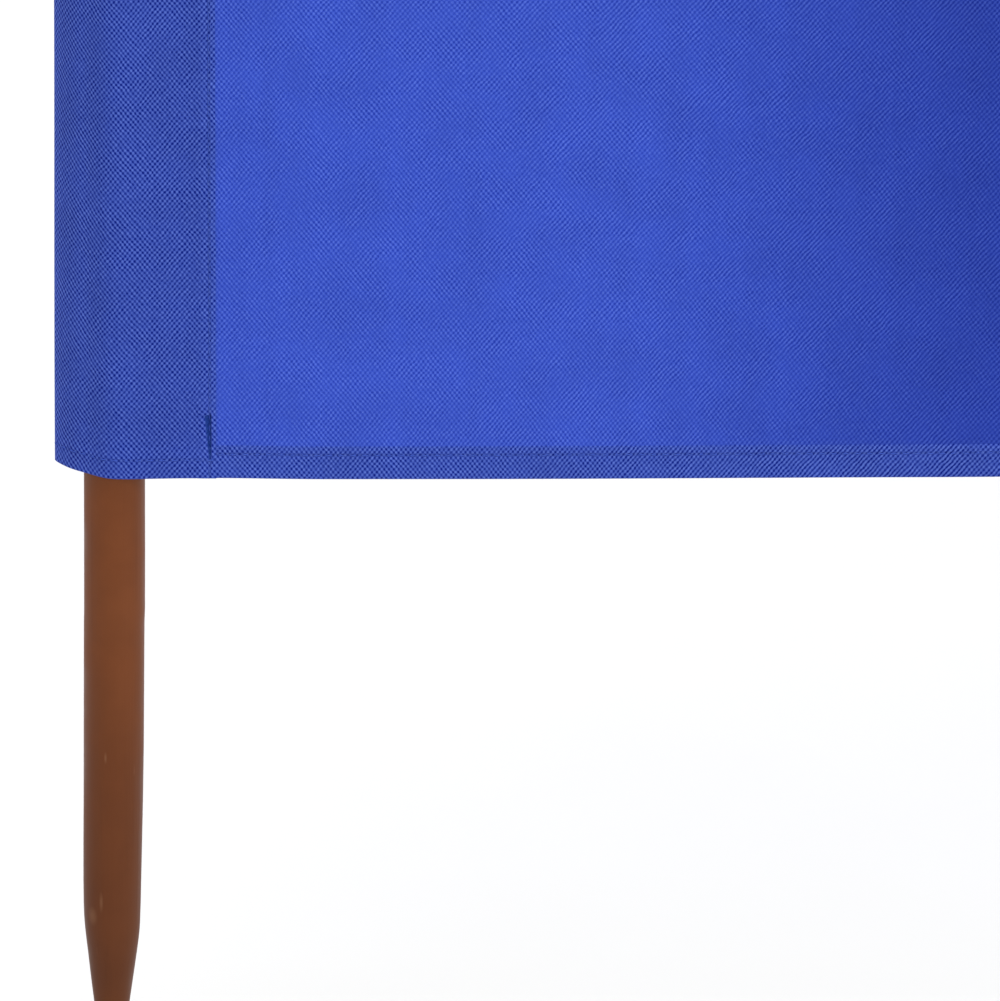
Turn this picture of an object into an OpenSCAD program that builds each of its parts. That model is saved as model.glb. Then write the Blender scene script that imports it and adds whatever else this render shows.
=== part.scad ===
// Beach windbreak: a fence of cloth in four bays, carried on five round poles
// that are pointed at the foot and driven into sand. The cloth passes in front
// of the poles, and sleeves sewn at its back hold them.
// X runs along the fence, Y through it and Z up. The origin is the blunt end of
// the middle pole's point.

/* [Cloth] */
// Distance from one pole to the next
bay_w = 1000; // [700:10:1250]
// Height of the cloth from its bottom edge to its top edge
cloth_h = 1200; // [900:10:1500]
// Thickness of one layer of cloth
cloth_t = 0.8; // [0.5:0.1:1.2]
// Height of the doubled hem along the bottom and the top
hem_h = 15; // [10:1:25]

/* [Sleeves] */
// From the middle of an end pole out to the fold of its sleeve
fold_reach = 24; // [20:1:35]
// From the middle of an end pole in to the sewn edge of its sleeve
seam_reach = 42; // [36:1:60]
// From the middle of an inner pole to each sewn edge of its sleeve
inner_reach = 33; // [28:1:50]
// Width of the flat sewn edge, with its raw edge turned in
seam_w = 6; // [4:1:10]
// Gap between a pole and the cloth round it
sleeve_gap = 0.3; // [0.2:0.1:1]
// How far behind the middle of its pole an end sleeve's fold lies
fold_back = 2; // [0:0.5:4]

/* [Poles] */
// Diameter of a pole
pole_d = 25; // [20:1:32]
// Diameter at the top of the point, where the turning has thinned the pole
foot_d = 23.2; // [18:0.2:32]
// Height over which the pole thins down to the point
thinning_h = 140; // [50:10:150]
// Length of bare pole between the point and the cloth
shank_h = 207; // [150:1:400]
// Height of the point
point_h = 71; // [40:1:120]
// Diameter of the blunt end of the point
blunt_d = 6; // [3:0.5:10]
// Length of pole above the cloth
head_h = 30; // [5:5:80]
// Chamfer round the head of a pole
head_edge = 2; // [0.5:0.5:4]

/* [Hidden] */
pole_count = 5;
middle_pole = 3;
cloth_bottom = point_h + shank_h;
pole_h = cloth_bottom + cloth_h + head_h;
pocket_r = pole_d / 2 + sleeve_gap;
front_y = -pocket_r - cloth_t;
seam_t = 3 * cloth_t;
hem_t = 2 * cloth_t;
arc_steps = 12;
cloth_blue = [0.22, 0.32, 0.72];
doubled_blue = [0.20, 0.29, 0.63];
pole_brown = [0.42, 0.25, 0.16];

// Place of pole number i along the fence
function pole_x(i) = (i - middle_pole) * bay_w;

// How far sleeve number i reaches from its pole towards the next bay, or back
function reach(i) = i == 1 || i == pole_count ? seam_reach : inner_reach;

// Direction of point p from the pole's middle, from -90 to 270 degrees
function direction(p) = let (t = atan2(p[1], p[0])) t < -90 ? t + 360 : t;

// Angle of the point where a line from p touches the circle of radius r; side
// is 1 for the point met first going anticlockwise from p, and -1 for the other
function touch(p, r, side) = direction(p) + side * acos(r / norm(p));

// Points round the circle of radius r from one angle to another
function arc(r, start, end) = [
  for (i = [0:arc_steps]) let (t = start + (end - start) * i / arc_steps) r * [cos(t), sin(t)]
];

// Outline of an end sleeve's pocket: from the seam at a round the back of the
// pole to the fold, which runs from b to c, and along the flat front again
function end_pocket(r, a, b, c) = concat(
  [a], arc(r, touch(a, r, 1), touch(b, r, -1)), [b, c], arc(r, touch(c, r, 1), 270), [[a[0], -r]]
);

// Outline of an inner sleeve's pocket: from the seam at a round the back of the
// pole to the seam on the other side, and along the flat front again
function inner_pocket(r, a) = let (b = [-a[0], a[1]]) concat(
  [a], arc(r, touch(a, r, 1), touch(b, r, -1)), [b, [b[0], -r], [a[0], -r]]
);

// Flat sewn edge of a sleeve, from the pocket's end out to x
module seam(x) {
  translate([x > 0 ? x - seam_w : x, front_y]) square([seam_w, seam_t]);
}

// Section of an end sleeve: fold on the left, pole in the pocket, seam on the right
module end_section() {
  pocket_end = seam_reach - seam_w;
  difference() {
    polygon(end_pocket(
      pocket_r + cloth_t,
      [pocket_end, front_y + seam_t],
      [-fold_reach, fold_back + cloth_t],
      [-fold_reach, fold_back - cloth_t]
    ));
    polygon(end_pocket(
      pocket_r,
      [pocket_end, cloth_t - pocket_r],
      [cloth_t - fold_reach, fold_back + cloth_t / 4],
      [cloth_t - fold_reach, fold_back - cloth_t / 4]
    ));
  }
  seam(seam_reach);
}

// Section of an inner sleeve: the cloth runs on in front of the pole, and a
// strip goes behind it, sewn down on both sides
module inner_section() {
  pocket_end = inner_reach - seam_w;
  difference() {
    polygon(inner_pocket(pocket_r + cloth_t, [pocket_end, front_y + seam_t]));
    polygon(inner_pocket(pocket_r, [pocket_end, cloth_t - pocket_r]));
  }
  seam(inner_reach);
  seam(-inner_reach);
}

module pole(i) {
  color(pole_brown)
    translate([pole_x(i), 0, 0])
      rotate_extrude($fn = 64)
        polygon([
          [0, 0],
          [blunt_d / 2, 0],
          [foot_d / 2, point_h],
          [pole_d / 2, point_h + thinning_h],
          [pole_d / 2, pole_h - head_edge],
          [pole_d / 2 - head_edge, pole_h],
          [0, pole_h]
        ]);
}

module sleeve(i) {
  color(doubled_blue)
    translate([pole_x(i), 0, cloth_bottom])
      if (i == 1) {
        linear_extrude(height = cloth_h) end_section();
      } else if (i == pole_count) {
        mirror([1, 0, 0]) linear_extrude(height = cloth_h) end_section();
      } else {
        linear_extrude(height = cloth_h) inner_section();
      }
}

// Flat piece of cloth of thickness t in bay number i, level with the sleeves'
// fronts, from height low to high above the bottom edge
module bay_piece(i, t, low, high) {
  left = pole_x(i) + reach(i);
  right = pole_x(i + 1) - reach(i + 1);
  translate([left, front_y, cloth_bottom + low]) cube([right - left, t, high - low]);
}

module panel(i) {
  color(cloth_blue) bay_piece(i, cloth_t, hem_h, cloth_h - hem_h);
}

module bottom_hem(i) {
  color(doubled_blue) bay_piece(i, hem_t, 0, hem_h);
}

module top_hem(i) {
  color(doubled_blue) bay_piece(i, hem_t, cloth_h - hem_h, cloth_h);
}

pole(1);  // pole_1
pole(2);  // pole_2
pole(3);  // pole_3
pole(4);  // pole_4
pole(5);  // pole_5
sleeve(1);  // sleeve_1
sleeve(2);  // sleeve_2
sleeve(3);  // sleeve_3
sleeve(4);  // sleeve_4
sleeve(5);  // sleeve_5
panel(1);  // panel_1
panel(2);  // panel_2
panel(3);  // panel_3
panel(4);  // panel_4
bottom_hem(1);  // bottom_hem_1
bottom_hem(2);  // bottom_hem_2
bottom_hem(3);  // bottom_hem_3
bottom_hem(4);  // bottom_hem_4
top_hem(1);  // top_hem_1
top_hem(2);  // top_hem_2
top_hem(3);  // top_hem_3
top_hem(4);  // top_hem_4
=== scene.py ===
"""Beach windbreak: blue cloth in four bays, held in front of five brown poles by sleeves at its back.

Lengths are in metres unless a comment gives millimetres.
"""

import math

import bmesh
import bpy
from mathutils import Matrix, Vector


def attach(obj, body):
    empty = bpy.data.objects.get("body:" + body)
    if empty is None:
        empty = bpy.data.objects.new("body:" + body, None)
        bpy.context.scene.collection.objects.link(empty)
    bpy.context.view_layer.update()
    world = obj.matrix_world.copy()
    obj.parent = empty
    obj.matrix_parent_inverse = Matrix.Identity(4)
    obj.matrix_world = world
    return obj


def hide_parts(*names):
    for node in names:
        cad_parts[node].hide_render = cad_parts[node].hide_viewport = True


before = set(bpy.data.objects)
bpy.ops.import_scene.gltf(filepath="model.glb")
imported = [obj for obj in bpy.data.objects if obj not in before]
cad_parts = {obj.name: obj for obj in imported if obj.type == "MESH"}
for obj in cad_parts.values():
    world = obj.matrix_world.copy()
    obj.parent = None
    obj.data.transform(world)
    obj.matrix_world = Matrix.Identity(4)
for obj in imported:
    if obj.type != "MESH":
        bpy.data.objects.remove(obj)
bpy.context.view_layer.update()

# ---- poles -----------------------------------------------------------------
# Five round wooden poles, turned to a point for driving into sand and painted
# brown. Below the cloth each one is planed a little thinner on one side.

MM = 0.001
POLE_X = (-2.0, -1.0, 0.0, 1.0, 2.0)
POLE_TURN = (0.0, 2.1, 4.0, 1.2, 5.3)  # how far round each pole stands, radians
POLE_PROFILE = (  # height, radius and sideways shift of the centre, mm
    (0.0, 2.4, -1.95),
    (0.8, 3.2, -1.95),
    (16.0, 5.30, -1.80),
    (34.9, 7.55, -1.62),
    (45.8, 8.90, -1.48),
    (56.7, 10.17, -1.30),
    (62.2, 10.80, -1.27),
    (66.2, 11.18, -1.28),
    (69.5, 11.40, -1.32),
    (73.1, 11.56, -1.36),
    (78.5, 11.72, -1.33),
    (89.4, 11.88, -1.24),
    (105.8, 12.05, -1.00),
    (127.6, 12.20, -0.66),
    (149.4, 12.33, -0.42),
    (179.0, 12.38, -0.20),
    (206.0, 12.42, 0.0),
    (213.0, 12.48, 0.18),
    (240.0, 12.50, 0.30),
    (278.0, 12.50, 0.40),
    (600.0, 12.50, 0.20),
    (1000.0, 12.50, 0.0),
    (1400.0, 12.50, 0.0),
    (1505.2, 12.50, 0.0),
    (1506.3, 12.25, 0.0),
    (1507.4, 11.45, 0.0),
    (1508.0, 10.20, 0.0),
)
POLE_SIDES = 56
POLE_SCRATCHES = (  # centres and half widths of marks in the paint on the first pole's front
    ((-2.0057, -0.0100, 0.0835), (0.0008, 0.004, 0.0046)),
    ((-2.0092, -0.0078, 0.0760), (0.0020, 0.004, 0.0042)),
    ((-2.0037, -0.0117, 0.1500), (0.0006, 0.004, 0.0026)),
)


def start_material(name):
    """An empty node material."""
    material = bpy.data.materials.new(name)
    material.use_nodes = True
    material.node_tree.nodes.clear()
    return material


def add(material, kind, inputs=None, **settings):
    """A node with its settings, and its inputs given as values or as other nodes' outputs."""
    made = material.node_tree.nodes.new(kind)
    for key, value in settings.items():
        setattr(made, key, value)
    for key, value in (inputs or {}).items():
        if isinstance(value, bpy.types.NodeSocket):
            material.node_tree.links.new(value, made.inputs[key])
        else:
            made.inputs[key].default_value = value
    return made


def maths(material, operation, *values):
    """The output of one step of arithmetic."""
    return add(material, "ShaderNodeMath", dict(enumerate(values)), operation=operation).outputs[0]


def ramp(material, value, low, high, to_low=0.0, to_high=1.0):
    """value brought from low..high to to_low..to_high, with soft ends."""
    inputs = {0: value, 1: low, 2: high, 3: to_low, 4: to_high}
    return add(material, "ShaderNodeMapRange", inputs, interpolation_type="SMOOTHSTEP").outputs[0]


def blend_colours(material, amount, first, second, how="MIX"):
    """first blended towards second by amount."""
    inputs = {0: amount, 6: first, 7: second}
    return add(material, "ShaderNodeMix", inputs, data_type="RGBA", blend_type=how).outputs[2]


def noise(material, where, scale, detail=2.0, rough=0.5):
    """A noise value around 0.5, with features about 1/scale across."""
    inputs = {"Vector": where, "Scale": scale, "Detail": detail, "Roughness": rough}
    return add(material, "ShaderNodeTexNoise", inputs).outputs[0]


def finish_surface(material, shader):
    """Joins the last shader to the material's output."""
    add(material, "ShaderNodeOutputMaterial", {"Surface": shader})


def stretch(material, where, scale):
    """Coordinates stretched by scale along x, y and z."""
    return add(material, "ShaderNodeMapping", {"Vector": where, "Scale": scale}).outputs[0]


def mark(material, where, centre, half):
    """0.5 in the middle of a small soft oval round centre with half widths half, and 0 outside."""
    off = add(material, "ShaderNodeVectorMath", {0: where, 1: centre}, operation="SUBTRACT").outputs[0]
    off = add(material, "ShaderNodeVectorMath", {0: off, 1: half}, operation="DIVIDE").outputs[0]
    off = add(material, "ShaderNodeVectorMath", {0: off}, operation="LENGTH").outputs["Value"]
    return ramp(material, off, 0.1, 1.3, 0.5, 0.0)


def pole_paint():
    """Brown paint, semi-matt, with brush marks, the grain under it and a few pale scratches, and painted
    shade that darkens it towards the foot.
    """
    m = start_material("pole_paint")
    place = add(m, "ShaderNodeTexCoord").outputs["Object"]
    height = add(m, "ShaderNodeSeparateXYZ", {0: place}).outputs[2]
    grain = noise(m, stretch(m, place, (420, 420, 9)), 1.0, 4.0, 0.6)
    brush = noise(m, stretch(m, place, (900, 900, 30)), 1.0, 2.0)
    cloudy = noise(m, place, 45.0, 3.0)
    patches = noise(m, place, 14.0, 2.0)
    browns = (0.158, 0.0435, 0.0110, 1), (0.180, 0.0510, 0.0140, 1)
    base = blend_colours(m, ramp(m, cloudy, 0.3, 0.7), *browns)
    base = blend_colours(m, ramp(m, grain, 0.55, 0.75, 0.0, 0.35), base, (0.124, 0.034, 0.009, 1))
    base = blend_colours(m, ramp(m, patches, 0.35, 0.7, 0.0, 0.4), base, (0.190, 0.058, 0.018, 1))
    # painted shade: the paint is darkened over the lowest quarter metre, to about two thirds at the point
    painted_shade_low_down = ramp(m, height, 0.03, 0.25, 0.63, 1.0)
    painted_shade_low_down = add(m, "ShaderNodeCombineXYZ", {0: painted_shade_low_down, 1: painted_shade_low_down, 2: painted_shade_low_down}).outputs[0]
    base = blend_colours(m, 1.0, base, painted_shade_low_down, "MULTIPLY")
    scratch = noise(m, stretch(m, place, (650, 650, 45)), 1.0, 1.0)
    scratched = ramp(m, noise(m, place, 23.0, 1.0), 0.55, 0.66)
    scratch = maths(m, "MULTIPLY", ramp(m, scratch, 0.735, 0.78), scratched)
    for centre, half in POLE_SCRATCHES:
        scratch = maths(m, "MAXIMUM", scratch, mark(m, place, centre, half))
    base = blend_colours(m, maths(m, "MULTIPLY", scratch, 0.5), base, (0.34, 0.17, 0.09, 1))
    relief = maths(m, "ADD", maths(m, "MULTIPLY", grain, 0.00008), maths(m, "MULTIPLY", brush, 0.00003))
    relief = maths(m, "ADD", relief, maths(m, "MULTIPLY", noise(m, place, 700.0, 2.0), 0.000018))
    relief = maths(m, "SUBTRACT", relief, maths(m, "MULTIPLY", scratch, 0.00005))
    bump = add(m, "ShaderNodeBump", {"Height": relief, "Distance": 1.0, "Strength": 0.8}).outputs[0]
    rough = ramp(m, maths(m, "ADD", cloudy, maths(m, "MULTIPLY", grain, 0.4)), 0.4, 0.9, 0.4, 0.54)
    shader = add(
        m,
        "ShaderNodeBsdfPrincipled",
        {"Base Color": base, "Roughness": rough, "Specular IOR Level": 0.15, "Normal": bump},
    )
    finish_surface(m, shader.outputs[0])
    return m


def as_piece(name, bm, material, smooth=True):
    """The bmesh as an object of the scene, riding on the one body there is."""
    for face in bm.faces:
        face.smooth = smooth
    mesh = bpy.data.meshes.new(name)
    bm.to_mesh(mesh)
    bm.free()
    mesh.materials.append(material)
    piece = bpy.data.objects.new(name, mesh)
    bpy.context.scene.collection.objects.link(piece)
    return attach(piece, "root")


paint = pole_paint()
for number, pole_x in enumerate(POLE_X):
    bm = bmesh.new()
    outline = [(radius, height) for height, radius, _ in POLE_PROFILE]
    points = [(0.0, 0.0), *outline, (0.0, POLE_PROFILE[-1][0])]
    line = [bm.verts.new((radius * MM, 0, height * MM)) for radius, height in points]
    edges = [bm.edges.new(pair) for pair in zip(line, line[1:])]
    bmesh.ops.spin(
        bm,
        geom=line + edges,
        cent=(0, 0, 0),
        axis=(0, 0, 1),
        angle=math.tau,
        steps=POLE_SIDES,
        use_merge=True,
    )
    bmesh.ops.remove_doubles(bm, verts=bm.verts, dist=1e-6)
    bmesh.ops.recalc_face_normals(bm, faces=bm.faces)
    turn = Matrix.Rotation(POLE_TURN[number], 3, "Z")
    for vert in bm.verts:
        height = vert.co.z / MM
        shift = POLE_PROFILE[-1][2]
        for below, above in zip(POLE_PROFILE, POLE_PROFILE[1:]):
            if below[0] <= height <= above[0]:
                part = (height - below[0]) / (above[0] - below[0])
                shift = below[2] + part * (above[2] - below[2])
        vert.co = turn @ (vert.co + Vector((shift * MM, 0, 0))) + Vector((pole_x, 0, 0))
    pole = as_piece(f"wood_pole_{number + 1}", bm, paint)
    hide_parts(f"pole_{number + 1}")

# ---- panels ----------------------------------------------------------------
# The single cloth of each bay, from seam to seam and hem to hem. Spunbonded
# polypropylene pressed with staggered rows of small pits, pulled nearly flat.

CLOTH_LOW, CLOTH_HIGH = 0.278, 1.478
HEM = 0.015
FRONT = -0.0134  # how far in front of the poles' middles the cloth runs
SEAM_REACH = (0.042, 0.033, 0.033, 0.033, 0.042)  # from a pole's middle to the seam's far edge
BELLY = (0.0020, -0.0040, 0.0055, -0.0045)  # how far each bay stands back in the middle
SLACK_WAVES = (  # height of a wave, waves across a bay, waves up it, and shift from bay to bay
    (0.0026, 1.7, 0.4, 1.3),
    (0.0013, 4.1, -0.8, 2.0),
)
RIPPLE, SWAY = 0.163, 0.55  # lengths of the small waves along the hems: back and forth, and up and down
PIT_ACROSS, PIT_UP = 0.00202, 0.00257  # spacing of the pits
DRIFT = 0.0064  # how far the columns of pits drift sideways
DRIFT_X, DRIFT_LONG = -1.94, 0.55  # where along the cloth they don't drift, and the length it repeats over
DRIFT_Z, DRIFT_TALL = 0.39, 0.8  # the height where they don't, and the height it repeats over
LEAN_LOW, LEAN_HIGH = 0.52, 0.70  # share of the ridges that lean to the right, from place to place
FOLD_LEAN = (-2.03, -1.98, -0.2)  # along the cloth, from where to where, and how much less they lean
FAR = 0.02  # distance from a seam that counts as far away
bays = [(POLE_X[i] + SEAM_REACH[i], POLE_X[i + 1] - SEAM_REACH[i + 1]) for i in range(len(POLE_X) - 1)]


def ease(value, low, high):
    """0 below low, 1 above high, and a soft step between."""
    part = min(1.0, max(0.0, (value - low) / (high - low)))
    return part * part * (3 - 2 * part)


def hang(bay, x, z):
    """How far back and how far up the cloth of a bay is moved by its slack, at x and z."""
    left, right = bays[bay]
    across = (x - left) / (right - left)
    up = (z - CLOTH_LOW) / (CLOTH_HIGH - CLOTH_LOW)
    hold = math.sin(math.pi * across) ** 2
    back = BELLY[bay] * hold * (0.6 + 0.4 * math.sin(math.pi * up))
    for inset in (x - left, right - x):
        back -= 0.0011 * ease(inset, 0.0, 0.045) * (1 - ease(inset, 0.1, 0.3))
    slack = hold * ease(across, 0.25, 0.45)
    back += 0.0009 * slack * math.sin(7.0 * x + 3.1 * z + 1.7 * bay)
    free = hold * (1.0 if bay else max(ease(across, 0.35, 0.6), ease(z, 0.55, 0.9)))
    for deep, waves_across, waves_up, shift in SLACK_WAVES:
        back += deep * free * math.sin(math.tau * (waves_across * across + waves_up * up) + shift * bay)
    edge = math.exp(-(z - CLOTH_LOW) / 0.07) + math.exp(-(CLOTH_HIGH - z) / 0.07)
    back += 0.0008 * edge * slack * math.sin(math.tau * x / RIPPLE + 2.0 * bay)
    lift = -0.0003 * edge * slack * math.sin(math.tau * (x - left) / SWAY)
    return back, lift


def cloth_finish(name, colours, passing, through, even):
    """Pressed cloth. colours are those of the raised spots between four pits, of the ridges and of the
    pits, and passing those of the light that comes through there. through is the share that passes light,
    and even how nearly alike the pits are from place to place."""
    m = start_material(name)
    flat = add(m, "ShaderNodeUVMap", uv_map="flat").outputs[0]
    along, upward, _ = add(m, "ShaderNodeSeparateXYZ", {0: flat}).outputs
    waver = add(m, "ShaderNodeTexNoise", {"Vector": flat, "Scale": 210.0, "Detail": 1.0}).outputs[1]
    waver = add(m, "ShaderNodeVectorMath", {0: waver, 1: (0.5, 0.5, 0.5)}, operation="SUBTRACT").outputs[0]
    waver = add(m, "ShaderNodeVectorMath", {0: waver, "Scale": 0.0010}, operation="SCALE").outputs[0]
    place = add(m, "ShaderNodeVectorMath", {0: flat, 1: waver}, operation="ADD").outputs[0]
    place = add(m, "ShaderNodeSeparateXYZ", {0: place}).outputs
    beat = maths(m, "MULTIPLY", maths(m, "SUBTRACT", along, DRIFT_X), math.tau / DRIFT_LONG)
    beat = maths(m, "COSINE", beat)
    swing = maths(m, "MULTIPLY", maths(m, "SUBTRACT", upward, DRIFT_Z), math.tau / DRIFT_TALL)
    swing = maths(m, "SINE", swing)
    skew = maths(m, "MULTIPLY", maths(m, "MULTIPLY", maths(m, "SUBTRACT", beat, 1.0), swing), DRIFT)
    side = maths(m, "MULTIPLY", maths(m, "ADD", place[0], skew), math.tau / PIT_ACROSS)
    rise = maths(m, "MULTIPLY", place[1], math.tau / PIT_UP)
    leaning = maths(m, "COSINE", maths(m, "SUBTRACT", side, rise))
    falling = maths(m, "COSINE", maths(m, "ADD", side, rise))
    lean = ramp(m, noise(m, flat, 55.0), 0.35, 0.65, LEAN_LOW, LEAN_HIGH)
    lean = maths(m, "ADD", maths(m, "MULTIPLY", beat, -0.11), lean)
    lean = maths(m, "ADD", lean, ramp(m, along, *FOLD_LEAN, 0.0))
    other = maths(m, "SUBTRACT", 1.0, lean)
    pressed = maths(m, "ADD", maths(m, "MULTIPLY", leaning, lean), maths(m, "MULTIPLY", falling, other))
    hollow = ramp(m, pressed, -0.1, 0.8)
    crown = ramp(m, pressed, -0.8, 0.1, 1.0, 0.0)

    each = ramp(m, noise(m, flat, 330.0, 1.0), 0.3, 0.7, 0.75, 1.15)
    region = ramp(m, noise(m, flat, 75.0, 2.0), 0.3, 0.7, even, 1.05)
    each_crown = ramp(m, noise(m, flat, 410.0, 1.0), 0.3, 0.7, 0.55, 1.2)
    depth = maths(m, "MULTIPLY", hollow, maths(m, "MULTIPLY", each, region))
    height = maths(m, "MULTIPLY", crown, maths(m, "MULTIPLY", each_crown, region))
    colour = blend_colours(m, depth, blend_colours(m, height, colours[1], colours[0]), colours[2])
    passed = blend_colours(m, depth, blend_colours(m, height, passing[1], passing[0]), passing[2])

    clouds = ramp(m, noise(m, flat, 38.0, 3.0), 0.25, 0.75, 0.955, 1.045)
    bands = add(m, "ShaderNodeCombineXYZ", {0: along}).outputs[0]
    bands = ramp(m, noise(m, bands, 90.0, 2.0), 0.3, 0.7, 0.98, 1.02)
    fibres = ramp(m, noise(m, flat, 2300.0, 3.0, 0.65), 0.3, 0.7, 0.93, 1.07)
    seam = maths(m, "ABSOLUTE", add(m, "ShaderNodeAttribute", attribute_name="seam").outputs["Fac"])
    groove = ramp(m, seam, 0.0, 0.0011, 1.0, 0.0)
    level = maths(m, "MULTIPLY", maths(m, "MULTIPLY", clouds, bands), fibres)
    # painted shade: the cloth is darkened along the stitching, where the thread draws it into a groove
    level = maths(m, "MULTIPLY", level, maths(m, "SUBTRACT", 1.0, maths(m, "MULTIPLY", groove, 0.16)))
    # the shade attribute scales the colour: painted shade in the bays, painted light on the end sleeves'
    # fronts and a paler tone on the hems; red and green follow it more steeply than blue
    shade = add(m, "ShaderNodeAttribute", attribute_name="shade").outputs["Fac"]
    red, green = maths(m, "POWER", shade, 1.55), maths(m, "POWER", shade, 1.4)
    painted_shade_and_tone = add(m, "ShaderNodeCombineXYZ", {0: red, 1: green, 2: shade}).outputs[0]
    level = add(m, "ShaderNodeVectorMath", {0: painted_shade_and_tone, "Scale": level}, operation="SCALE").outputs[0]
    colour = blend_colours(m, 1.0, colour, level, "MULTIPLY")
    passed = blend_colours(m, 1.0, passed, level, "MULTIPLY")
    # painted shade: inside the little pleat beside an end sleeve's seam the cloth is coloured plain dark
    # blue and passes almost no light
    tuck = add(m, "ShaderNodeAttribute", attribute_name="tuck").outputs["Fac"]
    colour = blend_colours(m, tuck, colour, (0.013, 0.045, 0.27, 1))
    passed = blend_colours(m, tuck, passed, (0.0, 0.0, 0.05, 1))

    pucker = maths(m, "MULTIPLY", ramp(m, seam, 0.0, 0.007, 1.0, 0.0), noise(m, flat, 160.0, 1.0))
    relief = maths(m, "MULTIPLY", depth, -0.00007)
    relief = maths(m, "ADD", relief, maths(m, "MULTIPLY", height, 0.00003))
    relief = maths(m, "ADD", relief, maths(m, "MULTIPLY", noise(m, flat, 1900.0, 3.0, 0.7), 0.00003))
    relief = maths(m, "ADD", relief, maths(m, "MULTIPLY", noise(m, flat, 60.0, 2.0), 0.0003))
    relief = maths(m, "SUBTRACT", relief, maths(m, "MULTIPLY", groove, 0.00018))
    relief = maths(m, "ADD", relief, maths(m, "MULTIPLY", pucker, 0.0007))
    bump = add(m, "ShaderNodeBump", {"Height": relief, "Distance": 1.0, "Strength": 0.9}).outputs[0]
    surface = add(
        m,
        "ShaderNodeBsdfPrincipled",
        {
            "Base Color": colour,
            "Roughness": ramp(m, depth, 0.0, 1.0, 0.62, 0.8),
            "Specular IOR Level": 0.07,
            "Sheen Weight": 0.04,
            "Sheen Roughness": 0.45,
            "Sheen Tint": (0.72, 0.8, 1.0, 1),
            "Normal": bump,
        },
    ).outputs[0]
    glow = add(m, "ShaderNodeBsdfTranslucent", {"Color": passed}).outputs[0]
    finish_surface(m, add(m, "ShaderNodeMixShader", {0: through, 1: surface, 2: glow}).outputs[0])
    return m


def bay_painted_shade(bay, x, z):
    """Painted shade on the cloth, as a factor on its colour: 1 at the bays' ends, a little less towards
    each bay's middle, and least low down in the first bay, about a third of a metre in from its left end.
    """
    left, right = bays[bay]
    inset = min(x - left, right - x)
    if bay > 0:
        return 1.0 - 0.08 * ease(inset, 0.1, 0.4) - 0.03 * math.sin(3.1 * x + 2.3 * z + bay)
    deep = ease(x - left, 0.14, 0.36) * (1 - 0.7 * ease(x - left, 0.34, 0.7))
    return 1.0 - 0.36 * deep * (1 - 0.6 * ease(z, 0.55, 1.0))


def cloth_grid(columns, rows, place):
    """A grid of cloth. place gives, for a column and a row, the point, the place on the flat cloth, the
    distance to the nearest stitching, how deep in a tuck it is, which sets the painted shade in the tuck,
    and its shade, the painted light and shade and the tone that scale its colour."""
    bm = bmesh.new()
    wide, tall = len(columns) - 1, len(rows) - 1
    bmesh.ops.create_grid(bm, x_segments=wide, y_segments=tall, size=0.5)
    flat = bm.loops.layers.uv.new("flat")
    seam = bm.verts.layers.float.new("seam")
    tuck = bm.verts.layers.float.new("tuck")
    shade = bm.verts.layers.float.new("shade")
    spot = {}
    for vert in bm.verts:
        i, j = round((vert.co.x + 0.5) * wide), round((vert.co.y + 0.5) * tall)
        vert.co, spot[vert], vert[seam], vert[tuck], vert[shade] = place(columns[i], rows[j])
    for face in bm.faces:
        for loop in face.loops:
            loop[flat].uv = spot[loop.vert]
    return bm


def spaced(start, stop, fine, coarse, margin):
    """Steps from start to stop, fine near both ends and coarse between."""
    steps, at = [start], start
    while at < stop - fine:
        inset = min(at - start, stop - at)
        at += min(coarse, fine + (coarse - fine) * min(1.0, inset / margin))
        steps.append(min(at, stop))
    if stop - steps[-1] > 1e-9:
        steps.append(stop)
    if steps[-1] - steps[-2] < 0.4 * fine:
        del steps[-2]
    return steps


SINGLE = cloth_finish(
    "cloth",
    colours=((0.160, 0.280, 0.930, 1), (0.0590, 0.127, 0.640, 1), (0.0070, 0.022, 0.190, 1)),
    passing=((0.0, 0.0, 0.36, 1), (0.024, 0.042, 0.45, 1), (0.036, 0.076, 0.66, 1)),
    through=0.45,
    even=0.6,
)
bay_columns = [spaced(left, right, 0.003, 0.0095, 0.06) for left, right in bays]
panel_rows = spaced(CLOTH_LOW + HEM, CLOTH_HIGH - HEM, 0.003, 0.0105, 0.06)
for bay, (left, right) in enumerate(bays):

    def on_panel(x, z):
        back, lift = hang(bay, x, z)
        return (x, FRONT + back, z + lift), (x, z), FAR, 0.0, bay_painted_shade(bay, x, z)

    panel = as_piece(f"cloth_bay_{bay + 1}", cloth_grid(bay_columns[bay], panel_rows, on_panel), SINGLE)
    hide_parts(f"panel_{bay + 1}")
    size = (right - left, CLOTH_HIGH - CLOTH_LOW - 2 * HEM)

# ---- hems ------------------------------------------------------------------
# The cloth's lower and upper edges, turned to the back with the raw edge turned
# in again, and sewn down in one row. From the front only the doubling shows.

HEM_BACK = 0.9  # mm from the front layer to the back one
HEM_ROW = 11.0  # mm from the edge to the stitching
HEM_DRAWN = (0.14, 0.78)  # mm, where the stitches hold the front layer and the back one
HEM_SECTION = (  # how far back and how far in from the edge, mm, from the panel round to the raw edge
    (0.0, 15.0),
    (0.0, 13.2),
    (0.06, 11.9),
    (HEM_DRAWN[0], HEM_ROW),
    (0.06, 10.1),
    (0.0, 8.8),
    (0.0, 6.0),
    (-0.05, 4.0),
    (-0.06, 2.0),
    (0.0, 0.9),
    (0.13, 0.26),
    (0.45, 0.0),
    (0.77, 0.26),
    (0.93, 0.9),
    (0.98, 2.0),
    (0.95, 4.0),
    (0.90, 7.0),
    (0.86, 10.0),
    (HEM_DRAWN[1], HEM_ROW),
    (0.88, 12.0),
    (0.92, 13.4),
    (0.90, 14.3),
    (0.83, 14.68),
    (0.68, 14.83),
    (0.53, 14.68),
    (0.45, 14.3),
    (0.42, 11.0),
    (0.45, 7.0),
)

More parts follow.
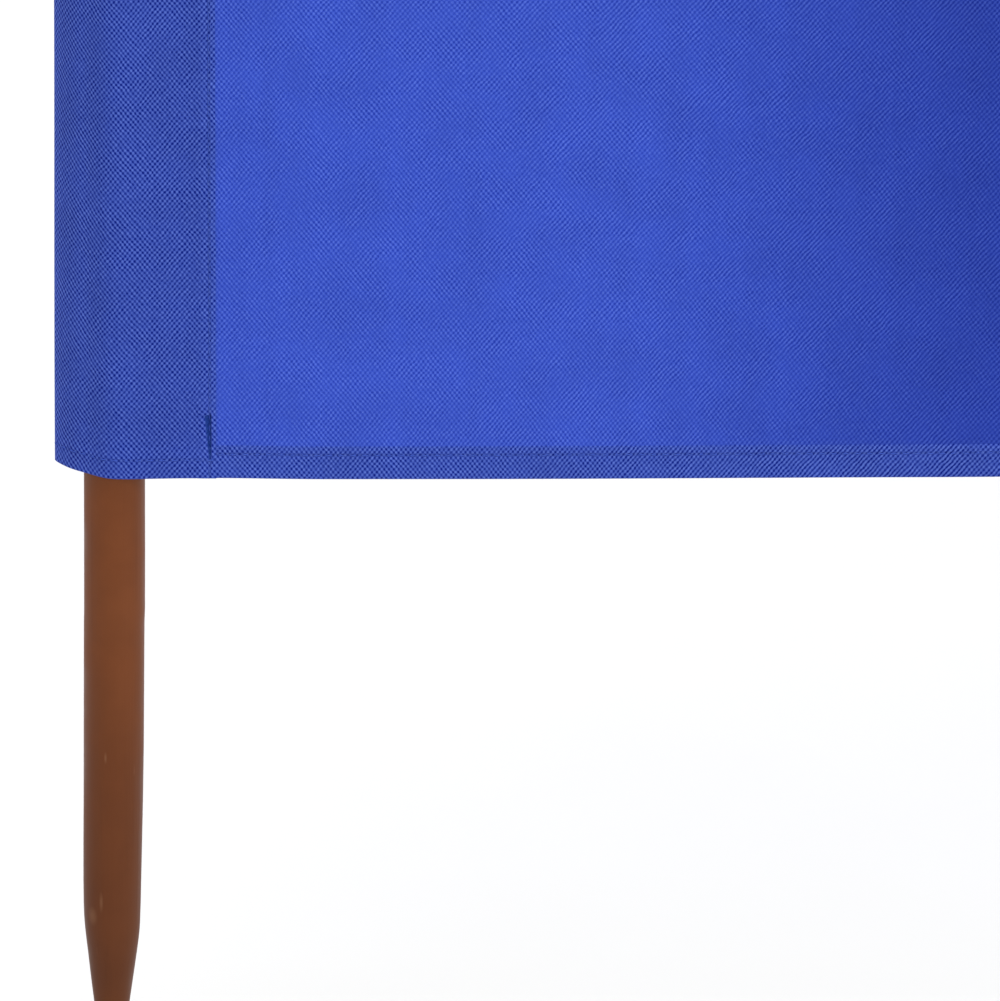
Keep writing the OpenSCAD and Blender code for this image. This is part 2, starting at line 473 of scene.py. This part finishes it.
DOUBLED = cloth_finish(
    "doubled_cloth",
    colours=((0.106, 0.176, 0.640, 1), (0.0400, 0.080, 0.450, 1), (0.0010, 0.011, 0.220, 1)),
    passing=((0.0, 0.0, 0.21, 1), (0.0, 0.0, 0.21, 1), (0.0, 0.0, 0.14, 1)),
    through=0.12,
    even=0.75,
)
section_length = [0.0]
for (back_a, in_a), (back_b, in_b) in zip(HEM_SECTION, HEM_SECTION[1:]):
    section_length.append(section_length[-1] + math.hypot(back_b - back_a, in_b - in_a))
hems = []
for bay, (left, right) in enumerate(bays):
    for edge, edge_z, inward in (("bottom", CLOTH_LOW, 1), ("top", CLOTH_HIGH, -1)):

        def on_hem(x, step):
            back, inset = HEM_SECTION[step]
            z = edge_z + inward * inset * MM
            slack, lift = hang(bay, x, z)
            flat_z = edge_z + inward * (HEM - section_length[step] * MM)
            from_row = (inset - HEM_ROW) * MM
            # the hem's colour: a paler tone, with a tenth of the bay's painted shade
            shade = 0.98 + 0.1 * bay_painted_shade(bay, x, z)
            return (x, FRONT + slack + back * MM, z + lift), (x, flat_z), from_row, 0.0, shade

        steps = range(len(HEM_SECTION))
        if edge == "bottom":
            steps = steps[::-1]
        bm = cloth_grid(bay_columns[bay], steps, on_hem)
        hem = as_piece(f"{edge}_hem_fold_{bay + 1}", bm, DOUBLED)
        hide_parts(f"{edge}_hem_{bay + 1}")
        hems.append((hem, bay, edge_z, inward))

# ---- sleeves ---------------------------------------------------------------
# Pockets that hold the poles. At each end the cloth goes round the pole and is
# sewn to its own back. Over an inner pole it runs on, with a strip sewn behind.

WRAP = 13.4  # mm, radius of the cloth round the back of a pole
SEAM_WIDE = 6.0  # mm of each seam that lies flat
TURN_R = 0.225  # mm, radius of a raw edge turned in
END_FRONT = (  # mm, an end sleeve seen from above: from the seam along the front and round the fold
    (35.0, -13.4),
    (26.0, -13.5),
    (16.0, -13.9),
    (6.0, -14.3),
    (1.0, -14.2),
    (-2.7, -13.5),
    (-4.6, -12.6),
    (-6.3, -11.65),
    (-7.8, -10.7),
    (-9.3, -9.6),
    (-10.9, -8.6),
    (-13.4, -7.1),
    (-15.8, -5.5),
    (-18.3, -3.5),
    (-20.7, -1.0),
    (-22.9, 1.7),
    (-24.1, 3.6),
    (-24.1, 5.0),
    (-22.8, 6.2),
)
FOLD_LEAVES = 109.0  # degrees, where the cloth from the fold meets the back of the pole
END_ROW, INNER_ROW = 39.4, 30.0  # mm from the pole's middle to the stitching
END_HEM_ROW = 8.4  # mm from an end sleeve's lower or upper edge to its stitching
PLEAT_X, PLEAT_LOW, PLEAT_HIGH = 39.8, 7.5, 28.9  # mm, the little pleat beside an end sleeve's seam
PLEAT_WIDE, PLEAT_DEEP = 2.9, 1.4  # mm
RAW_EDGE = 5  # stations at a raw edge turned in, where no thread shows
SLEEVE_HEIGHTS = (  # mm above the sleeve's lower edge; those below nought are turned up inside
    (-14.0, -11.0, -7.0, -3.5, -1.6, -0.6, -0.3, 0.0, 0.3, 0.6, 1.6, 3.0, 4.5, 6.0)
    + tuple(range(8, 35, 1))
    + (37, 41, 46, 52, 59, 67, 76, 86)
    + tuple(range(96, 601, 12))
)


def arc(centre, radius, start, stop):
    """Points along a circle's arc, in mm and degrees."""
    count = max(3, round(abs(stop - start) * radius / 8))
    angles = [math.radians(start + (stop - start) * k / count) for k in range(count + 1)]
    return [(centre[0] + radius * math.cos(a), centre[1] + radius * math.sin(a)) for a in angles]


def even_path(points, step):
    """The same path with points a step apart."""
    made, left_over = [points[0]], step
    for (ax, ay), (bx, by) in zip(points, points[1:]):
        length = math.hypot(bx - ax, by - ay)
        at = left_over
        while at <= length:
            made.append((ax + (bx - ax) * at / length, ay + (by - ay) * at / length))
            at += step
        left_over = at - length
    made.append(points[-1])
    return made


def soften(points, reach):
    """The path with its corners rounded, and its ends kept."""
    made = []
    for k in range(len(points)):
        near = min(reach, k, len(points) - 1 - k)
        group = points[k - near : k + near + 1]
        made.append((sum(p[0] for p in group) / len(group), sum(p[1] for p in group) / len(group)))
    return made


def back_leaves(flat_to):
    """The direction, in degrees, where cloth drawn from the seam at flat_to meets the back of the pole."""
    reach = math.hypot(flat_to, FRONT / MM + HEM_BACK)
    return math.degrees(math.acos(WRAP / reach) + math.atan2(FRONT / MM + HEM_BACK, flat_to))


def end_path():
    """An end sleeve seen from above: from the seam's front round the pole to the turned-in raw edge."""
    reach, front = SEAM_REACH[0] / MM, FRONT / MM
    flat_to, back = reach - SEAM_WIDE - 1, front + HEM_BACK
    path = [(reach, front), *END_FRONT] + arc((0, 0), WRAP, FOLD_LEAVES, back_leaves(flat_to))
    path = soften(even_path(path + [(flat_to, back), (reach - TURN_R, back)], 0.25), 5)
    path += arc((reach - TURN_R, back - TURN_R), TURN_R, 90, -90)[1:]
    inside = back - HEM_BACK / 2
    return path + even_path([(reach - TURN_R, inside), (flat_to, inside)], 0.25)[1:]


def front_path():
    """The cloth passing in front of an inner pole, from right to left."""
    reach, front = SEAM_REACH[2] / MM, FRONT / MM
    corners = [(reach, front), (14.0, front), (0.0, front - 0.1), (-14.0, front), (-reach, front)]
    return even_path(corners, 0.25)


def strip_path():
    """The strip behind an inner pole, from left to right, with both raw edges turned in."""
    reach, back = SEAM_REACH[2] / MM, FRONT / MM + HEM_BACK
    flat_to = reach - SEAM_WIDE
    leave = back_leaves(flat_to)
    path = [(TURN_R - reach, back), (-flat_to, back)] + arc((0, 0), WRAP, 180 - leave, leave)
    path = soften(even_path(path + [(flat_to, back), (reach - TURN_R, back)], 0.25), 5)
    left_turn = arc((TURN_R - reach, back - TURN_R), TURN_R, 270, 90)[:-1]
    right_turn = arc((reach - TURN_R, back - TURN_R), TURN_R, 90, -90)[1:]
    inside = back - HEM_BACK / 2
    return [(-flat_to, inside)] + left_turn + path + right_turn + [(flat_to, inside)]


def stations(path):
    """Points chosen along a path, each with its distance along and the outward direction."""
    chosen, run, last = [], 0.0, -9.0
    for k, (x, y) in enumerate(path):
        before, after = path[max(0, k - 1)], path[min(len(path) - 1, k + 1)]
        run += math.hypot(x - before[0], y - before[1])
        along = Vector((after[0] - before[0], after[1] - before[1])).normalized()
        step = 1.3
        if PLEAT_X - 3.8 < x < PLEAT_X + 1.1:  # by the pleat
            step = 0.3
        elif x < -19.5:  # by the fold
            step = 0.6
        turned_in = math.hypot(after[0] - x, after[1] - y) < 0.2
        if run - last >= step or k in (0, len(path) - 1) or turned_in:
            chosen.append((x, y, run, -along.y, along.x))
            last = run
    return chosen


def pleat(x, height):
    """How far back the pleat dips at x and height, mm, and how far inside it that is, which sets the
    painted shade in the pleat.
    """
    if not PLEAT_LOW < height < PLEAT_HIGH:
        return 0.0, 0.0
    width = PLEAT_WIDE * (0.2 + 0.8 * (height - PLEAT_LOW) / (PLEAT_HIGH - PLEAT_LOW))
    deep = PLEAT_DEEP * min(1.0, width / 1.4) * min(1.0, (PLEAT_HIGH - height) / 0.9)
    inside = (x - PLEAT_X + width) / width
    if inside < 0 or x > PLEAT_X + 0.3:
        return 0.0, 0.0
    if x > PLEAT_X:
        return deep * (1 - (x - PLEAT_X) / 0.3), 0.0
    return deep * inside, min(1.0, inside * 4) * min(1.0, deep)


def loose(x, y, height, seam_at):
    """How far the cloth of a sleeve stands out from its path, mm, where it is free of pole and seam."""
    free = min(1.0, max(0.0, (math.hypot(x, y) - 14.6) / 6))
    free *= min(1.0, max(0.0, (seam_at - abs(x)) / 6))
    wave = 0.45 * math.sin(height / 38 + x / 9) + 0.3 * math.sin(height / 91 - 1.3)
    return free * (wave * ease(height, 190, 330) - 0.65 * ease(height, 20, 230))


def sleeve_pale_and_painted_light(x):
    """How pale an end sleeve's front is: painted light lifting the front towards the fold, a painted sheen
    along the fold itself, and paler at the seam.
    """
    return 1.0 + 0.05 * ease(-x, 2, 12) + 0.13 * ease(-x, 20.5, 23.5) + 0.08 * ease(x, 35, 38)


def sleeve_grid(number, path, row_x, run_start, run_way, end):
    """The cloth along a path round pole number, from the hem inside its lower edge to the one inside its
    upper edge. run_start and run_way give the place along the flat cloth. end is 1 or -1 for an end sleeve,
    folded on its left or its right."""
    columns = stations(path)
    rows = [(0, height) for height in SLEEVE_HEIGHTS]
    rows += [(1, height) for height in reversed(SLEEVE_HEIGHTS[:-1])]

    def on_sleeve(station, row):
        x, y, run, out_x, out_y = station
        side, height = row
        reach = abs(height)
        # the cloth turns in over 0.6 mm, and its inner layer lies 0.5 mm in, or 0.12 mm at a seam
        lift = reach * reach / 1.2 if reach < 0.6 else reach - 0.3 * max(0.0, 1 - (reach - 0.6) / 8)
        inner = min(1.0, max(0.0, 0.5 * (1 - height / 0.6)))
        near_seam = min(1.0, max(0.0, ((x - 33) if end else (abs(x) - 24)) / 4))
        offset = loose(x, y, lift, (36 if end else 27)) - inner * (0.5 - 0.38 * near_seam)
        dip, inside = pleat(x, lift) if end else (0.0, 0.0)
        px, py = x + out_x * offset, y + out_y * offset + dip
        edge, way = (CLOTH_LOW, 1) if side == 0 else (CLOTH_HIGH, -1)
        flat_lift = lift if height > 0 else -lift
        from_row = min(abs(abs(x) - row_x), abs(lift - (END_HEM_ROW if end else HEM_ROW)))
        return (
            (POLE_X[number] + (end or 1) * px * MM, py * MM, edge + way * lift * MM),
            (run_start + run_way * run * MM, edge + way * flat_lift * MM),
            min(FAR, from_row * MM),
            # how deep in the pleat the front layer is, for the painted shade there
            inside if y < FRONT / MM + 0.5 else 0.0,
            # painted light and a paler seam on an end sleeve's front
            sleeve_pale_and_painted_light(x) if end and y < 4 else 1.0,
        )

    return cloth_grid(columns, rows, on_sleeve)


def sleeve_piece(name, number, path, row_x, run_start, run_way, end=0):
    """One piece of a sleeve's cloth, and its size laid flat."""
    bm = sleeve_grid(number, path, row_x, run_start, run_way, end)
    if end >= 0:
        bmesh.ops.reverse_faces(bm, faces=bm.faces)
    piece = as_piece(name, bm, DOUBLED)
    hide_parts(f"sleeve_{number + 1}")
    size = (stations(path)[-1][2] * MM, CLOTH_HIGH - CLOTH_LOW - 2 * SLEEVE_HEIGHTS[0] * MM)
    return piece, size


sleeves = {}
for number in range(len(POLE_X)):
    if number == 0:
        made = [sleeve_piece("end_sleeve_1", number, end_path(), END_ROW, bays[0][0], -1, 1)]
    elif number == len(POLE_X) - 1:
        made = [sleeve_piece("end_sleeve_5", number, end_path(), END_ROW, bays[-1][1], 1, -1)]
    else:
        start = bays[number][0]
        apart = 10.0 + number  # the strip's pattern is not in step with the long cloth's
        made = [
            sleeve_piece(f"sleeve_front_{number + 1}", number, front_path(), INNER_ROW, start, -1),
            sleeve_piece(f"sleeve_strip_{number + 1}", number, strip_path(), INNER_ROW, apart, 1),
        ]
    sleeves[number] = made

# ---- stitches --------------------------------------------------------------
# Lockstitch in blue polyester thread, both faces alike: along both hems, round
# the sleeves' ends and down the sleeves' seams. The cloth is drawn in under it.

STITCH, STITCH_LONG, STITCH_THICK = 4.9, 3.2, 0.42  # mm: one stitch to the next, length, thickness
STITCH_OUT = 0.00008  # how far a stitch's middle stands out of the cloth


def thread_finish():
    """Blue thread with a slight sheen, two plies twisted."""
    m = start_material("thread")
    place = add(m, "ShaderNodeTexCoord").outputs["Object"]
    tone = blend_colours(m, noise(m, place, 120.0), (0.036, 0.078, 0.43, 1), (0.066, 0.125, 0.56, 1))
    ply = noise(m, place, 2600.0, 2.0)
    relief = maths(m, "MULTIPLY", ply, 0.00005)
    bump = add(m, "ShaderNodeBump", {"Height": relief, "Distance": 1.0}).outputs[0]
    values = {"Base Color": tone, "Roughness": 0.5, "Specular IOR Level": 0.05, "Normal": bump}
    finish_surface(m, add(m, "ShaderNodeBsdfPrincipled", values).outputs[0])
    return m


def stitch_row(places, start):
    """Where the stitches of a row lie along the line through places, each a point and the way out of the
    cloth. Gives for each stitch its middle, its way along and its way out."""
    made, wanted, run = [], start, 0.0
    for (here, out), (there, _) in zip(places, places[1:]):
        here, there = Vector(here), Vector(there)
        length = (there - here).length
        while wanted <= run + length:
            middle = here.lerp(there, (wanted - run) / length)
            made.append((middle, (there - here).normalized(), Vector(out)))
            wanted += STITCH * MM
        run += length
    return made


def edge_distance(z):
    """How far the height z is from the nearer of the cloth's lower and upper edges, mm."""
    return min(z - CLOTH_LOW, CLOTH_HIGH - z) / MM


def stitches(name, rows, node):
    """A piece with a bit of thread at every stitch of the rows."""
    bit = bmesh.new()
    bmesh.ops.create_uvsphere(bit, u_segments=5, v_segments=4, radius=0.5)
    mesh = bpy.data.meshes.new("stitch")
    bit.to_mesh(mesh)
    bit.free()
    bm = bmesh.new()
    for number, (middle, along, out) in enumerate(row for one in rows for row in one):
        tilt = 0.12 * math.sin(number * 2.4)
        across = out.cross(along).normalized()
        along = (along + across * tilt).normalized()
        across = out.cross(along).normalized()
        size = 1 + 0.12 * math.sin(number * 1.7)
        ways = (out * STITCH_THICK * MM, across * STITCH_THICK * MM, along * STITCH_LONG * size * MM)
        basis = Matrix(ways).transposed().to_4x4()
        basis.translation = middle + out * STITCH_OUT
        mesh.transform(basis)
        bm.from_mesh(mesh)
        mesh.transform(basis.inverted())
    bpy.data.meshes.remove(mesh)
    piece = as_piece(name, bm, THREAD)
    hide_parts(node)
    return piece


THREAD = thread_finish()
OUT_FRONT, OUT_BACK = (0, -1, 0), (0, 1, 0)
for hem, bay, edge_z, inward in hems:
    row_z = edge_z + inward * HEM_ROW * MM
    rows = []
    for out, depth in zip((OUT_FRONT, OUT_BACK), HEM_DRAWN):
        line = []
        for x in bay_columns[bay]:
            slack, lift = hang(bay, x, row_z)
            line.append(((x, FRONT + slack + depth * MM, row_z + lift), out))
        rows.append(stitch_row(line, 0.002))
    thread = stitches(f"{hem.name}_thread", rows, f"{'bottom' if inward > 0 else 'top'}_hem_{bay + 1}")
    left, right = bays[bay]

for number, made in sleeves.items():
    end = {0: 1, len(POLE_X) - 1: -1}.get(number, 0)
    for index, (piece, size) in enumerate(made):
        path = end_path() if end else (front_path(), strip_path())[index]
        rows = []
        row_in = (END_HEM_ROW if end else HEM_ROW) * MM
        first = RAW_EDGE if index else 0
        last = -RAW_EDGE if end or index else None
        for z in (CLOTH_LOW + row_in, CLOTH_HIGH - row_in):
            line = [
                ((POLE_X[number] + (end or 1) * x * MM, y * MM, z), ((end or 1) * out_x, out_y, 0))
                for x, y, _, out_x, out_y in stations(path)[first:last]
            ]
            rows.append(stitch_row(line, 0.0024))
        for side in (end,) if end else (-1, 1):
            x = POLE_X[number] + side * (END_ROW if end else INNER_ROW) * MM
            for out, y in ((OUT_FRONT, FRONT), (OUT_BACK, FRONT + HEM_BACK * MM)):
                if end or (index == 0) == (out is OUT_FRONT):
                    row = stitch_row([((x, y, CLOTH_LOW), out), ((x, y, CLOTH_HIGH), out)], 0.003)
                    if end and out is OUT_FRONT:  # the pleat hides the stitches under it
                        row = [one for one in row if pleat(END_ROW, edge_distance(one[0].z))[0] < 0.1]
                    rows.append(row)
        thread = stitches(f"{piece.name}_thread", rows, f"sleeve_{number + 1}")

# ---- camera ----------------------------------------------------------------
# A very long lens, square to the cloth and looking down on the first sleeve's
# foot from 26 degrees above.

CAMERA_DOWN, CAMERA_AWAY = math.radians(26), 17.0
AIM = Vector((-1.8422, FRONT, 0.26805))

camera_data = bpy.data.cameras.new("camera")
camera_data.lens = 1498.2
camera_data.sensor_width = 36
camera = bpy.data.objects.new("camera", camera_data)
camera.location = AIM + CAMERA_AWAY * Vector((0, -math.cos(CAMERA_DOWN), math.sin(CAMERA_DOWN)))
camera.rotation_euler = (math.pi / 2 - CAMERA_DOWN, 0, 0)
bpy.context.scene.collection.objects.link(camera)
bpy.context.scene.camera = camera

# ---- floor, lights and background ------------------------------------------
# A pale floor that fades into a white background, and broad soft light from
# both sides of the cloth and from above.

FLOOR_HALF = 9.0

m = start_material("floor")
place = add(m, "ShaderNodeTexCoord").outputs["Object"]
flat_place = stretch(m, place, (1, 1, 0))
away = add(m, "ShaderNodeVectorMath", {0: flat_place}, operation="LENGTH").outputs["Value"]
tone = blend_colours(m, noise(m, place, 9.0), (0.765, 0.765, 0.755, 1), (0.805, 0.805, 0.795, 1))
matt = add(m, "ShaderNodeBsdfDiffuse", {"Color": tone}).outputs[0]
clear = add(m, "ShaderNodeBsdfTransparent").outputs[0]
shown = ramp(m, away, 2.6, 7.5, 0.42, 0.0)
finish_surface(m, add(m, "ShaderNodeMixShader", {0: shown, 1: clear, 2: matt}).outputs[0])
bm = bmesh.new()
bmesh.ops.create_grid(bm, x_segments=2, y_segments=2, size=FLOOR_HALF)
floor = as_piece("floor", bm, m)


def sun(name, direction, strength, spread):
    """A very soft distant light shining along direction."""
    light = bpy.data.lights.new(name, "SUN")
    light.energy = strength
    light.angle = math.radians(spread)
    holder = bpy.data.objects.new(name, light)
    holder.rotation_mode = "QUATERNION"
    holder.rotation_quaternion = Vector(direction).to_track_quat("-Z", "Y")
    bpy.context.scene.collection.objects.link(holder)


sun("front_light", (-0.6, 1.0, -0.55), 1.29, 70)
sun("back_light", (0.25, -1.0, -0.55), 1.24, 70)
sun("top_light", (0.0, 0.05, -1.0), 1.9, 30)

world = bpy.data.worlds.new("studio")
world.use_nodes = True
world.node_tree.nodes.clear()
path = add(world, "ShaderNodeLightPath").outputs
seen = maths(world, "MAXIMUM", path["Is Camera Ray"], path["Is Glossy Ray"])
level = add(world, "ShaderNodeMapRange", {0: seen, 3: 0.56, 4: 1.0}).outputs[0]
light = add(world, "ShaderNodeBackground", {"Color": (1, 1, 1, 1), "Strength": level}).outputs[0]
add(world, "ShaderNodeOutputWorld", {"Surface": light})
bpy.context.scene.world = world
bpy.context.scene.view_settings.view_transform = "Standard"
